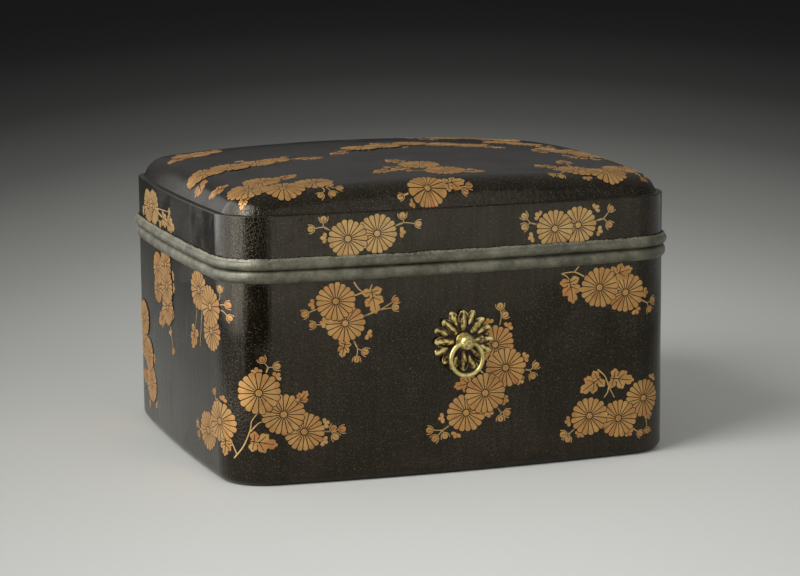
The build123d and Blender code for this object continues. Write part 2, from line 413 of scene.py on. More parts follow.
leadLook = {
    "grey": "#686656",
    "pale": "#8f8c77",
    "dark": "#3d3a2e",
    "bare": "#948f79",
    "cloud": 13.33,   # mm
    "pit": 1.1,       # mm
    "flake": 1.111,   # mm, at the raw edge
    "relief": 0.22,   # mm
}


def oxidisedLead():
    # soft pewter or lead sheet, hammered over the edge and left to oxidise: dull olive grey, small pits,
    # paler at raw edges
    look = leadLook
    material, tree, shader, place = newMaterial("hammeredOxidisedLead")
    cloud = addNode(tree, "TexNoise", {"Vector": place, "Scale": 1000 / look["cloud"], "Detail": 7.0,
                                       "Roughness": 0.7})
    tones = [(0.3, look["dark"]), (0.5, look["grey"]), (0.72, look["pale"])]
    base = addNode(tree, "ValToRGB", {0: cloud}, tones)
    pits = addNode(tree, "TexVoronoi", {"Vector": place, "Scale": 1000 / look["pit"]})
    holes = addNode(tree, "ValToRGB", {0: pits}, [(0.14, 0.25), (0.36, 1.0)])
    pitted = addNode(tree, "Mix", {0: 0.55, 6: base, 7: holes}, **darkening)
    edge = addNode(tree, "Attribute", **fromTint)
    fine = addNode(tree, "TexNoise", {"Vector": place, "Scale": 1000 / look["flake"], "Detail": 3.0})
    flaky = addNode(tree, "ValToRGB", {0: fine}, [(0.45, 0.0), (0.56, 1.0)])
    raw = addNode(tree, "Math", {0: edge, 1: flaky}, operation="MULTIPLY")
    colour = addNode(tree, "Mix", {0: raw, 6: pitted, 7: look["bare"]}, **colourMix)
    uneven = addNode(tree, "Math", {0: holes, 1: fine}, operation="ADD")
    bump = addNode(tree, "Bump", {"Strength": 0.6, "Distance": look["relief"] * mm, "Height": uneven})
    setInputs(tree, shader, {"Base Color": colour, "Normal": bump, "Metallic": 0.35, "Roughness": 0.48})
    return material


patinaLook = {
    "tones": [(0.12, "#2a1a1c"), (0.36, "#5f4a28"), (0.6, "#b19e5a"), (0.9, "#e8da98")],   # hollow to raised
    "cloud": 1.613,   # mm
    "relief": 0.25,   # mm
}


def patinatedBrass():
    # chased sheet brass: rubbed to a pale silvery gold where it stands up, purple brown tarnish in hollows
    look = patinaLook
    material, tree, shader, place = newMaterial("chasedPatinatedBrass")
    tint = addNode(tree, "Attribute", **fromTint)
    cloud = addNode(tree, "TexNoise", {"Vector": place, "Scale": 1000 / look["cloud"], "Detail": 4.0,
                                       "Roughness": 0.75})
    drift = addNode(tree, "Math", {0: cloud, 1: 0.5}, operation="SUBTRACT")
    level = addNode(tree, "Math", {0: drift, 1: 1.5, 2: tint}, operation="MULTIPLY_ADD", use_clamp=True)
    base = addNode(tree, "ValToRGB", {0: level}, look["tones"])
    bump = addNode(tree, "Bump", {"Strength": 0.7, "Distance": look["relief"] * mm, "Height": cloud})
    setInputs(tree, shader, {"Base Color": base, "Normal": bump, "Metallic": 0.75, "Roughness": 0.34})
    return material


brassLook = {
    "tones": [(0.28, "#9a8847"), (0.5, "#cdbc76"), (0.75, "#eee2a8")],
    "mark": "#54431f",   # dirt in the punched marks
    "cloud": 3.333,      # mm
    "relief": 0.1,       # mm
}


def rubbedBrass():
    # cast and turned brass, kept pale and bright by handling
    look = brassLook
    material, tree, shader, place = newMaterial("turnedPaleBrass")
    cloud = addNode(tree, "TexNoise", {"Vector": place, "Scale": 1000 / look["cloud"], "Detail": 5.0,
                                       "Roughness": 0.65})
    base = addNode(tree, "ValToRGB", {0: cloud}, look["tones"])
    tint = addNode(tree, "Attribute", **fromTint)
    marked = addNode(tree, "Mix", {0: tint, 6: base, 7: look["mark"]}, **colourMix)
    bump = addNode(tree, "Bump", {"Strength": 0.3, "Distance": look["relief"] * mm, "Height": cloud})
    setInputs(tree, shader, {"Base Color": marked, "Normal": bump, "Metallic": 0.8, "Roughness": 0.33})
    return material


lacquer = blackLacquer()
gold = powderedGold()
lead = oxidisedLead()
darkBrass = patinatedBrass()
brass = rubbedBrass()
finishes = {"lacquered_wood": lacquer, "rim_metal": lead, "rosette_brass": darkBrass, "ring_brass": brass}
slotOf = {part["node"]: part["material_slot"] for part in frame["record"]["subparts"]}
for name, node in frame["nodes"].items():
    node.data.materials.clear()
    node.data.materials.append(finishes[slotOf[name]])
print("materials made")


# crown
def makeCrown():
    form, outer, inner = crownForm, crownForm["footInset"], crownForm["innerFoot"]
    longSteps, cornerSteps, shortSteps = form["steps"]
    run = [i * longRun / longSteps for i in range(longSteps + 1)]
    run += [longRun + i * cornerRun / cornerSteps for i in range(1, cornerSteps + 1)]
    shortStart = longRun + cornerRun
    run += [shortStart + i * (quarter - shortStart) / shortSteps for i in range(1, shortSteps)]
    half = run + [quarter] + [2 * quarter - s for s in reversed(run)]
    around = half + [2 * quarter + s for s in half[1:-1]]
    # rings at these insets from the wall, close together on the side and shoulder, then shares of the way in
    topInsets = [outer + 0.45 * i for i in range(14)] + [9.9, 10.7, 11.6, 12.6, 13.8, 15.2, 17, 19, 21.5]
    underInsets = [inner + 0.6 * i for i in range(10)] + [15, 17, 19, 21.5]
    shares = [0, 0.06, 0.13, 0.21, 0.3, 0.4, 0.5, 0.6, 0.7, 0.8, 0.9, 0.96]

    def ring(inset, share, under):
        made = []
        for s in around:
            point, normal = wallAt(s)
            spot = (point - normal * inset) * (1 - share)
            below = (inner, form["thickness"], form["innerShoulder"]) if under else ()
            height = crownHeight(spot.x, spot.y, *below)
            made.append(Vector((spot.x, spot.y, plan["ledgeHeight"] + max(height, 0))))
        return made

    top = [ring(d, 0, False) for d in topInsets] + [ring(form["flatInset"], t, False) for t in shares]
    under = [ring(d, 0, True) for d in underInsets] + [ring(form["flatInset"], t, True) for t in shares]
    shape = newShape()
    addRings(shape, top[::-1] + under)
    piece = makePiece("crownBoard", shape, [lacquer], "lid", 50)
    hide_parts("lid_crown")


makeCrown()
print("crown made")


# rims at the seam
rimForm = {
    "height": 6.8,
    "bodyProud": 2.1,
    "lidProud": 2.9,
    "legInset": 4.4,     # the leg behind the bead, over the wall's edge
    "bodyLeg": 4.0,      # how far it reaches down the body's wall, and up the lid's
    "lidLeg": 4.4,
    "sheet": 0.8,
    "gap": 0.03,         # between the sheet and the wall's face
    "bodyBead": (3.35, 2.95),   # its middle below the seam, and half its height
    "lidBead": (2.95, 2.55),    # the same above the seam
    "beadSteps": 12,
    "beadPower": 0.75,   # below 1 it is fuller than a round one
    "samples": 900,
    "dents": ((34, 3.1), (8, 8.4), (1.3, 5.2)),   # slow, quick and fine, each with its size and its seed
    "bodySway": 0.25,    # how far the slow dents press the bead in
    "lidSway": 0.35,
    "quickDepth": 0.12,
    "lowWaver": 0.3,     # of the body sheet's lower edge
    "ragged": 0.9,       # how uneven the upper edge of the lid's sheet is
    "raggedMix": (0.35, 0.6, 0.5),   # how much of that is even, fine and quick
    "open": 0.15,        # how far the seam gapes
    "openRight": 0.45,   # and how much more where the lid sits a little high on the front
    "openAt": (55, 45),  # along the wall: the middle of that place and its reach
    "rawTints": (0.1, 0.35, 0.7, 0.8, 0.7, 0.3),   # bare metal along the raw edge, point by point
}


def wave(point, size, seed):
    return noise.noise(Vector((point.x / size + seed, point.y / size, seed * 1.7)))


# half a bead as steps of (out, up), between two angles in degrees
def bead(out, middle, high, start, end):
    made, last, power = [], rimForm["beadSteps"] - 1, rimForm["beadPower"]
    for k in range(last + 1):
        a = math.radians(start + (end - start) * k / last)
        made.append((out * abs(math.cos(a)) ** power, middle + high * math.sin(a)))
    return made


def makeRims():
    form = rimForm
    seam, tall = plan["seamHeight"], form["height"]
    leg, sheet, gap = form["legInset"], form["sheet"], form["gap"]
    openAt, openReach = form["openAt"]
    even, fineShare, quickShare = form["raggedMix"]
    bodyRings, lidRings = [], []
    for i in range(form["samples"]):
        s = 4 * quarter * i / form["samples"]
        point, normal = wallAt(s)
        slow, quick, fine = (wave(point, size, seed) for size, seed in form["dents"])
        gape = form["open"] * (1 + slow) + form["openRight"] * math.exp(-((s - openAt) / openReach) ** 2)
        dent = form["quickDepth"] * abs(quick)
        # the body's: up the leg, over the wall's edge, round the bead, under its lower edge and back
        proud = form["bodyProud"] - form["bodySway"] * abs(slow) - dent
        low, foot = seam - tall + form["lowWaver"] * abs(quick), seam - form["bodyLeg"]
        middle, high = form["bodyBead"]
        body = [(sheet - leg, foot), (-leg, foot), (-leg, seam), (0.0, seam)]
        body += bead(proud, seam - middle - 0.1 * gape, high - 0.3 * gape, 72, -70)
        body += [(0.55, low + 0.1), (0.3, low), (gap, low + 0.3), (gap, seam - sheet)]
        body += [(sheet - leg, seam - sheet)]
        # the lid's: the same upside down, with a raw ragged edge above the bead
        proud = form["lidProud"] - form["lidSway"] * abs(slow) - dent
        edge = seam + tall - form["ragged"] * min(1, abs(even + fineShare * fine + quickShare * quick))
        neck, foot = 0.5 * proud + 0.1 * fine, seam + form["lidLeg"]
        middle, high = form["lidBead"]
        lid = [(sheet - leg, foot), (-leg, foot), (-leg, seam), (0.0, seam + 0.02)]
        lid += bead(proud, seam + middle + 0.4 * gape, high, -72, 58)
        lid += [(neck + 0.15, edge - 0.75), (neck + 0.12, edge - 0.3), (neck - 0.2, edge),
                (neck - 0.75, edge - 0.05), (neck - 1.0, edge - 0.7)]
        lid += [(gap, edge - 1.0), (gap, seam + sheet), (sheet - leg, seam + sheet)]
        for rings, outline in ((bodyRings, body), (lidRings, lid)):
            rings.append([Vector((point.x + normal.x * a, point.y + normal.y * a, z)) for a, z in outline])
    bodyTints = [0.0] * len(bodyRings[0])
    lidTints = [0.0] * (form["beadSteps"] + 2) + list(form["rawTints"])
    lidTints += [0.0] * (len(lidRings[0]) - len(lidTints))
    for name, rings, body, node, tints in (("rimOfBody", bodyRings, "box", "body_rim", bodyTints),
                                           ("rimOfLid", lidRings, "lid", "lid_rim", lidTints)):
        shape = newShape()
        addRings(shape, rings, join=True)
        shape["tints"] = tints * len(rings)
        piece = makePiece(name, shape, [lead], body, 60)
        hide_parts(node)


makeRims()
print("rims made")


# ring fittings
fitting = {
    "height": 73.0,
    "petals": 8,
    "petalInner": 5.6,
    "knobRadius": 4.2,
    "knobOut": 7.4,
    "neckRadius": 1.7,
    "neckEnds": (2.0, -7.9),   # above the wall's face, and behind the washer
    "ringRadius": 9.0,
    "wireRadius": 1.25,
    "ringWear": 0.05,     # share of the wire's thickness that is worn away in places
    "washerTop": -6.85,   # inner face of the washer behind the wall
    "legStart": 0.2,
    "legLength": 6.2,
    "legWidth": 3.0,
    "legThick": 1.1,
    "legRound": (0.7, 0.32),   # where its end begins to narrow, and over what share of its length
    "legCrown": 0.25,          # share of its thickness by which its middle is thicker than its edges
}
# two layers of petals: a disc's profile is radius and height, a petal is reach, half width, base and rise
rosetteLayers = [
    {"piece": "OuterPetals", "node": "_rosette_lower", "turn": 0.5, "seed": 0,
     "petal": (17.0, 2.8, 0.25, 1.3),
     "disc": [(0.6, 0), (8, 0), (11.0, 0), (11.0, 0.7), (8, 0.75), (0.6, 0.75)], "tint": 0.12},
    {"piece": "InnerPetals", "node": "_rosette_upper", "turn": 0, "seed": 20,
     "petal": (16.4, 3.1, 1.6, 1.6),
     "disc": [(0.6, 1.3), (8, 1.3), (9.2, 1.3), (9.2, 1.95), (8, 2.0), (0.6, 2.1)], "tint": 0.1},
]
collarProfile = [(1.8, 2.1), (4.1, 2.1), (4.6, 2.5), (4.6, 3.2), (4.3, 3.6), (3.6, 3.9), (1.8, 4.0)]
# five small rings punched in the knob round a sixth at its top
punchMarks = {
    "count": 5,
    "polar": 0.62,    # radians from the top
    "first": 18,      # degrees
    "radius": 0.62,
    "width": 0.2,
    "depth": 0.24,
    "dirty": 0.22,    # depth at which a mark is quite dark
}
petalForm = {
    "rows": 22,
    "cols": 15,
    "under": 0.25,                  # how far its underside goes into the disc
    "width": (0.12, 0.85, 0.45),    # first phase and span of the half wave that is its outline, and its power
    "dome": (0.16, 0.76, 0.5),      # the same for its swelling along the petal
    "domePower": 2.4,               # and across it
    "bend": 0.1,                    # how far its sides lag behind its middle, as a share of the half width
    "lipWidth": 0.13,               # of the turned-up edge, as a share of the petal
    "lipFrom": (0.45, 0.3),         # where along the petal that edge begins to rise, and over what length
    # what floor, dome, groove, lip and roughness add to the height, and to the brightness
    "heights": (0.1, 0.85, -0.3, 0.3, 0.1),
    "tones": (0.12, 0.6, -0.55, 0.55, 0.45),
    "lines": 5,                     # fine chased lines along it
    "lineTone": 0.16,
    "petalDarkening": (0.06, 0.14, 0.07),  # darker everywhere, differing from petal to petal, and more on the petals that point down, below the knob
}


def fittingPlace(end):
    way = -1 if end == "front" else 1

    def place(x, y, h):
        return Vector((-way * x, way * (frontFace + h), fitting["height"] + y))
    return place


def rosettePetal(shape, place, turn, inner, outer, halfWidth, base, rise, seed):
    # a chased petal: a swelling lens with a groove along it and a turned-up edge round its tip
    form = petalForm
    top, bottom, tints = [], [], []
    ca, sa = math.cos(turn), math.sin(turn)
    everywhere, varied, below = form["petalDarkening"]
    # petals are made darker everywhere, at random from petal to petal, and more the further down they point
    petalDarkening = everywhere + varied * noise.noise(Vector((seed * 1.9, 4.4, 0.7))) - below * ca
    (wideStart, wideSpan, widePower), (domeStart, domeSpan, domePower) = form["width"], form["dome"]
    lipStart, lipRise = form["lipFrom"]
    for i in range(form["rows"]):
        t = i / (form["rows"] - 1)
        r = inner + (outer - inner) * t
        wide = halfWidth * max(0.1, math.sin(math.pi * (wideStart + wideSpan * t))) ** widePower
        swell = math.sin(math.pi * min(1, domeStart + domeSpan * t)) ** domePower
        topRow, lowRow = [], []
        for j in range(form["cols"]):
            q = -1 + 2 * j / (form["cols"] - 1)
            rough = noise.noise(Vector((q * 1.7, t * 5.0, seed * 3.3)))
            dome = (1 - abs(q) ** form["domePower"]) * swell
            groove = (0.5 - 0.5 * math.cos(q * math.pi + rough)) * dome
            lip = math.exp(-((1 - max(abs(q), t)) / form["lipWidth"]) ** 2)
            lip *= min(1, max(0, (t - lipStart) / lipRise))
            parts = (1, dome, groove, lip, rough)
            h = base + rise * sum(share * part for share, part in zip(form["heights"], parts))
            x, y = q * wide, r - form["bend"] * halfWidth * q * q
            topRow.append(place(x * ca + y * sa, y * ca - x * sa, h))
            lowRow.append(place(x * ca + y * sa, y * ca - x * sa, base - form["under"]))
            line = form["lineTone"] * math.cos(q * math.pi * form["lines"]) * dome
            level = sum(share * part for share, part in zip(form["tones"], parts)) + line - petalDarkening
            tints.append(min(1, max(0, level)))
        top.append(topRow)
        bottom.append(lowRow)
    first = len(shape["tints"])
    addSheet(shape, top, bottom)
    shape["tints"][first:first + len(tints)] = tints


def addDisc(shape, place, profile, tint):
    rings = [[place(r * math.sin(a), r * math.cos(a), h) for a in circle(64)] for r, h in profile]
    addRings(shape, rings, tint=tint)


def makeFitting(end):
    place = fittingPlace(end)
    form = fitting
    step = 2 * math.pi / form["petals"]
    for layer in rosetteLayers:
        shape = newShape()
        addDisc(shape, place, layer["disc"], layer["tint"])
        for k in range(form["petals"]):
            turn, seed = (k + layer["turn"]) * step, k + layer["seed"]
            rosettePetal(shape, place, turn, form["petalInner"], *layer["petal"], seed)
        piece = makePiece(end + layer["piece"], shape, [darkBrass], "box", 50)
        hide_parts(end + layer["node"])
    collar = newShape()
    addDisc(collar, place, collarProfile, 0.55)
    piece = makePiece(end + "Collar", collar, [darkBrass], "box", 50)
    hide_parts(end + "_collar")
    makeKnob(end, place)
    makeRing(end, place)


def makeKnob(end, place):
    form, marks = fitting, punchMarks
    radius, thin = form["knobRadius"], form["neckRadius"]
    centres = [(0, 0)] + [(marks["polar"], math.radians(marks["first"] + 360 / marks["count"] * k))
                          for k in range(marks["count"])]
    spots = [Vector((math.sin(a) * math.cos(b), math.sin(a) * math.sin(b), math.cos(a))) for a, b in centres]
    shape = newShape()
    rings, tints = [], []
    rows, turns = 48, circle(80)
    pole, neck = 0.02, math.asin(thin / radius)
    for i in range(rows):
        polar = pole + (math.pi - neck - pole) * i / (rows - 1)
        ring = []
        for a in turns:
            way = Vector((math.sin(polar) * math.sin(a), math.sin(polar) * math.cos(a), math.cos(polar)))
            sink = 0
            for spot in spots:
                away = radius * way.angle(spot)
                sink += marks["depth"] * math.exp(-((away - marks["radius"]) / marks["width"]) ** 2)
            p = way * (radius - sink)
            ring.append(place(p.x, p.y, form["knobOut"] + p.z))
            tints.append(min(1, sink / marks["dirty"]))
        rings.append(ring)
    for h in form["neckEnds"]:
        rings.append([place(thin * math.sin(a), thin * math.cos(a), h) for a in turns])
    addRings(shape, rings, tint=0.0)
    shape["tints"][:len(tints)] = tints
    # the split end behind the washer, one leg turned up and one down, each with a rounded end
    face, start, crown = form["washerTop"], form["legStart"], form["legCrown"]
    roundStart, roundSpan = form["legRound"]
    for way in (-1, 1):
        top, bottom = [], []
        for k in range(9):
            t = k / 8
            wide = form["legWidth"] / 2 * math.sqrt(max(1 - max(0, (t - roundStart) / roundSpan) ** 2, 0.05))
            row = [(q * wide, way * (start + (form["legLength"] - start) * t)) for q in (-1, -0.5, 0, 0.5, 1)]
            thick = [form["legThick"] * (1 - crown + crown * (1 - abs(x) / wide)) for x, y in row]
            top.append([place(x, y, face - deep) for (x, y), deep in zip(row, thick)])
            bottom.append([place(x, y, face) for x, y in row])
        addSheet(shape, top, bottom, tint=0.0)
    piece = makePiece(end + "Knob", shape, [brass], "box", 60)
    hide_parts(end + "_ring_post")


def makeRing(end, place):
    form = fitting
    big, wire, out = form["ringRadius"], form["wireRadius"], form["knobOut"]
    rings = []
    for a in circle(96):
        thick = wire * (1 - form["ringWear"] * (1 + math.sin(3 * a + 0.6)) / 2)
        ring = []
        for b in circle(20):
            r = big + thick * math.cos(b)
            ring.append(place(r * math.sin(a), r * math.cos(a) - big, out + thick * math.sin(b)))
        rings.append(ring)
    shape = newShape()
    addRings(shape, rings, tint=0.0, join=True)
    piece = makePiece(end + "Ring", shape, [brass], end + "_ring", 180)
    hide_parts(end + "_ring")


for end in ("front", "back"):
    makeFitting(end)
print("fittings made")


# sprinkled gold sprays
sprayForm = {
    "petals": 18,
    "gap": 0.48,         # dark line between petals, mm
    "border": 0.45,      # dark line round a whole blossom
    "heart": 0.155,      # disc in the middle, as a share of the blossom's radius
    "petalTint": 0.12,   # how much the petals of one blossom differ
    "redPetal": (0.05, 0.25),   # how often one is redder, and by how much
    "layer": 0.1,
    "skin": 0.12,        # how far the gold stands above the lacquer
    "edge": 0.7,         # share of that at a motif's edges
    "sunk": 0.15,        # and how far it goes in
    "ground": 0.03,      # how far the dark line round a blossom stands above the lacquer
    "stem": 0.62,
    "thickStem": 1.3,    # how much thicker the main stems are
    "stemRoot": 1.03,    # where a bud's stem starts, as a share of the blossom's radius
    "stemTint": -0.35,   # stems are paler than the blossoms
    "fork": 12,          # buds nearer to each other than this share a stem
    "budEnd": 2.1,       # where a stem ends before the middle of its bud
}
leafForm = {
    "length": 12.5,
    # lobes: place along the midrib, direction in degrees and reach, as shares of the length
    "lobes": ((0.14, -96, 0.4), (0.14, 96, 0.4), (0.32, -50, 0.46), (0.32, 50, 0.46), (0.46, 0, 0.54)),
    "sway": 6,             # degrees by which a lobe's direction varies
    "middle": (0.72, 0.15),   # reach and half width of the pad along the midrib, as shares of the length
    "pads": ((-0.3, 0.85), (0.3, 0.85), (0, 1.0)),   # of a lobe: turn in radians and share of its reach
    "padWidth": 0.1,
    "tints": (-0.1, 0.0, 0.1, 0.25),
    "vein": 0.42,
    "veinHeight": 0.14,
    "foot": 0.4,           # from a leaf's middle back to its foot, as a share of its length
}
budForm = {
    "radius": 1.65,
    "near": 4.2,           # a bud nearer to its blossom than this is a small leaf without a stem
    "tints": (-0.1, 0.0, 0.2),
    "cup": (-118, -85, -45, 0, 45, 85, 118),   # degrees from its stem
    "cupGap": 0.5,
    "cupFlare": 0.55,
    "cupWidth": 0.42,
    "cupTint": -0.2,
    "slit": (-0.75, 0, 0.45),   # a dark line down its middle, as shares of the radius
    "slitWidth": 0.25,
    "leafTurns": (-64, 64, 0),
    "leafFoot": 1.3,
    "leafPad": (0.35, 3.1, 1.05),   # start, end and half width of each of its three pads
}
# each row: surface, body, how much wider than tall its motifs are, blossoms (along, up, radius), buds, leaves
# and stems; on the crown the places are x and y; a leaf is its middle, or its foot, its direction in degrees
# and its length
sprays = [
    ("wall", "box", 1.06, [(-70, 98, 10.2), (-65, 86, 10.2)],
     [(-37, 97), (-37, 93), (-83, 97), (-87, 92), (-83, 86), (-77, 87), (-52, 79), (-59, 66), (-54, 70)],
     [(-50.5, 103.5, 170, 13.5), (-65, 76, 195, 8.5)],
     [[(-60, 100.5), (-55, 102), (-52, 102.5), (-50, 106)], [(-60, 107.8), (-57.5, 104), (-54.5, 102)]]),
    ("wall", "box", 1.06, [(-112, 51, 11.2), (-99, 39, 11), (-88, 29, 10.4)],
     [(-110, 69), (-102, 65), (-113, 63), (-102, 60), (-76, 33), (-72, 30), (-67, 29), (-71, 25), (-77, 23)],
     [(-117, 25, 97, 14), (-92, 44, 42, 9)],
     [[(-127, 15), (-121, 22), (-117, 31), (-116, 36), (-112, 41)], [(-117, 30), (-112, 35), (-108, 35)]]),
    ("wall", "box", 1.3, [(-139, 33, 11), (-159, 24, 10.6)],
     [(-147, 48), (-142, 43), (-135, 46), (-179, 24), (-177, 18)], [(-133, 25, 185, 10)],
     [[(-125, 17), (-129, 24), (-134, 29)], [(-128, 22), (-131, 21), (-133, 20)]]),
    ("wall", "box", 1.06, [(13, 43, 11), (2, 33, 10.6), (25, 56, 11), (19, 69, 10.5)],
     [(22, 90), (25, 85), (15, 82), (27, 79), (37, 61), (43, 56), (41, 50), (34, 48), (25, 38), (26, 31),
      (22, 28), (15, 31), (-12, 31), (-19, 25), (-16, 20), (-10, 21), (-4, 21)],
     [(7, 50, 255, 11.5)], [[(14, 52), (10, 56), (8, 60)]]),
    ("wall", "box", 1.06, [(81, 96, 11), (97, 92, 11)], [(110, 91), (116, 86), (113, 81), (104, 81)],
     [(62.5, 102, 167, 14), (89, 102, 72, 12)],
     [[(72, 102.5), (65.7, 105.5), (58, 105.2)], [(65.7, 105.5), (68.4, 108.5)],
      [(58, 105.2), (61, 103.5), (63, 101)]]),
    ("wall", "box", 1.06, [(75, 25, 10.6), (93, 22, 10.6), (109, 32, 10.5)],
     [(62, 23), (59, 16), (62, 13), (69, 15), (100, 13), (107, 12), (112, 13), (113, 21), (116, 43)],
     [(82, 46, 238, 14), (88, 45, 100, 14)],
     [[(80, 50.5), (84.5, 46.5), (87, 40.3), (90.5, 34)], [(87, 40.3), (86, 37), (84, 34.6)]]),
    ("wall", "lid", 1.04, [(-63, 131, 10.3), (-47, 133, 10.4)],
     [(-83, 137), (-76, 142), (-76, 132), (-33, 142), (-33, 133), (-24, 137)], [], []),
    ("wall", "lid", 1.04, [(54, 130, 10.4), (68, 131, 10.4)],
     [(36, 138), (36, 132), (44, 138), (40, 126), (79, 140), (88, 139), (87, 130), (81, 127)], [], []),
    ("wall", "lid", 1.3, [(-284, 131, 9.6), (-269, 132, 10)], [(-229, 134), (-252, 124), (-300, 126)],
     [(-243, 128), (-229, 127)], []),
    ("wall", "box", 1.3, [(-151, 93, 11.5), (-171, 99, 11.2), (-150, 80, 10.6)],
     [(-129, 97), (-128, 90), (-136, 105)], [(-181, 72)], [[(-166, 88), (-169, 76), (-171, 68)]]),
    ("wall", "box", 1.2,
     [(-238, 91, 11), (-240, 103, 10), (-238, 79, 10.5), (-261, 98, 9.5), (-262, 86, 8.5)],
     [(-224, 99), (-223, 92), (-226, 76), (-233, 65), (-227, 55)], [(-252, 70)], []),
    ("wall", "box", 1.25, [(-303, 62, 10.5), (-292, 42, 10), (-286, 26, 11), (-305, 46, 9)],
     [(-274, 15), (-294, 12), (-277, 42)], [(-303, 27)], []),
    ("crown", "lid", 1.0, [(-92, -93, 12), (-109, -86, 12), (-74, -88, 11), (-97, -69, 10.5)],
     [(-67, -97), (-63, -101), (-68, -104), (-75, -104)],
     [(-86, -67, 60, 13), (-117, -68, 320, 12), (-113, -95, 222, 8)], []),
    ("crown", "lid", 1.0, [(-99, -13, 11.5), (-116, -20, 11.5), (-83, -9, 11), (-71, -4, 9)],
     [(-57, -6), (-88, 8), (-62, 6)], [(-51, -9), (-122, -33, 190, 12)], []),
    ("crown", "lid", 1.0, [(-101, 66, 11.5), (-90, 77, 10.5)], [(-80, 88), (-104, 84)],
     [(-110, 57, 218, 13)], []),
    ("crown", "lid", 1.0, [(-16, -106, 11)], [(-32, -108), (-26, -110), (5, -108), (8, -106)],
     [(-1, -104)], []),
    ("crown", "lid", 1.0, [(3, -81, 11.5), (-4, -59, 11.5)], [(-16, -76), (-24, -62), (18, -81), (20, -87)],
     [(-29, -72), (-19, -69), (-13, -43), (17, -86)], []),
    ("crown", "lid", 1.0, [(-13, 20, 11), (3, 26, 11), (23, 36, 11), (40, 27, 11), (54, 19, 10.5)],
     [(66, 24), (-26, 12), (14, 16)], [(-31, 3), (66, 8), (8, 44)], []),
    ("crown", "lid", 1.0, [(94, 31, 11), (85, 45, 11)], [(106, 22), (72, 38)], [(100, 12), (96, 56)], []),
    ("crown", "lid", 1.0, [(92, -94, 11.5), (77, -88, 11.5), (107, -81, 11)],
     [(66, -86), (58, -99), (63, -101), (78, -102), (113, -98), (118, -91)],
     [(81, -61), (64, -76), (119, -72)], []),
]
# blossoms on the sides that face away, by surface and body: their buds and leaves are grown round them
farSprays = {
    ("wall", "box"): [
        [(183, 88, 11), (197, 80, 10.6), (186, 68, 10.4)],
        [(226, 40, 11), (240, 31, 11), (252, 44, 10.4)],
        [(292, 94, 11), (276, 88, 10.6)],
        [(306, 40, 11), (318, 29, 10.6)],
        [(176, 25, 10.6), (163, 34, 10.6)],
        [(388, 90, 11), (404, 84, 10.8)],
        [(392, 36, 11), (407, 28, 11), (420, 38, 10.6)],
        [(500, 52, 11), (489, 40, 10.6), (476, 32, 10.8)],
        [(548, 94, 11), (533, 86, 11)],
        [(560, 42, 11), (548, 30, 10.8), (534, 25, 10.4)],
    ],
    ("wall", "lid"): [
        [(214, 131, 10.2), (229, 132, 10.2)],
        [(306, 131, 10.2)],
        [(404, 131, 10.2), (419, 132, 10.2)],
        [(520, 132, 10.2), (535, 130, 10.2)],
        [(158, 131, 10.2)],
    ],
    ("crown", "lid"): [
        [(62, 84, 11.3), (76, 92, 11.3), (90, 84, 11)],
        [(112, -28, 11.3), (104, -12, 11.3)],
    ],
}
growth = {
    "bodyBand": (12, 105),   # heights that buds and leaves keep to
    "lidBand": (125, 141),
    "rosetteHalf": 20,       # zone round each fitting that stays bare
    "rosetteBand": (52, 94),
    "crownInset": 7,
    "fromBlossom": 2.6,
    "fromOthers": 4.3,
    "turns": (-1.3, -0.55, 0.15, 0.9, 1.6),   # round a blossom, in radians from the way out of its group
    "what": ("pair", "near", "pair", "leaf", "none"),
    "pairTurns": (-0.18, 0.22),
    "pairFar": 8.5,
    "nearFar": 3.0,
    "leafFar": 6.5,
    "leafRoom": 3,
    "wide": 1.05,
}


def outwards(blossom, a, b):
    return math.atan2(a - blossom[0], b - blossom[1])


def isFree(kind, body, a, b, blossoms, taken):
    form = growth
    if kind == "wall":
        low, high = form["bodyBand"] if body == "box" else form["lidBand"]
        under, over = form["rosetteBand"]
        aside = min(abs(a), abs(abs(a) - 2 * quarter))
        nearRosette = body == "box" and aside < form["rosetteHalf"] and under < b < over
        clear = low < b < high and not nearRosette
    else:
        clear = insetAt(a, b) > form["crownInset"]
    clear = clear and all(math.hypot(p - a, q - b) > r + form["fromBlossom"] for p, q, r in blossoms)
    return clear and all(math.hypot(p - a, q - b) > form["fromOthers"] for p, q in taken)


def growRound(kind, body, blossoms, rng):
    form = growth
    buds, leaves = [], []
    middle = [sum(p[k] for p in blossoms) / len(blossoms) for k in (0, 1)]
    roomy = [(u, v, w + form["leafRoom"]) for u, v, w in blossoms]
    for p, q, r in blossoms:
        away = outwards(middle, p, q) if len(blossoms) > 1 else rng.uniform(0, 6.28)
        for turn in (away + t for t in form["turns"]):
            what = rng.choice(form["what"])
            if what == "leaf":
                far = r + form["leafFar"]
                a, b = p + far * math.sin(turn), q + far * math.cos(turn)
                if isFree(kind, body, a, b, roomy, buds + leaves):
                    leaves.append((a, b))
            for way in form["pairTurns"] if what == "pair" else (0,) if what == "near" else ():
                far = r + (form["pairFar"] + rng.uniform(-1, 1) if what == "pair" else form["nearFar"])
                a, b = p + far * math.sin(turn + way), q + far * math.cos(turn + way)
                if isFree(kind, body, a, b, blossoms if what == "pair" else [], buds + leaves):
                    buds.append((a, b))
    return buds, leaves


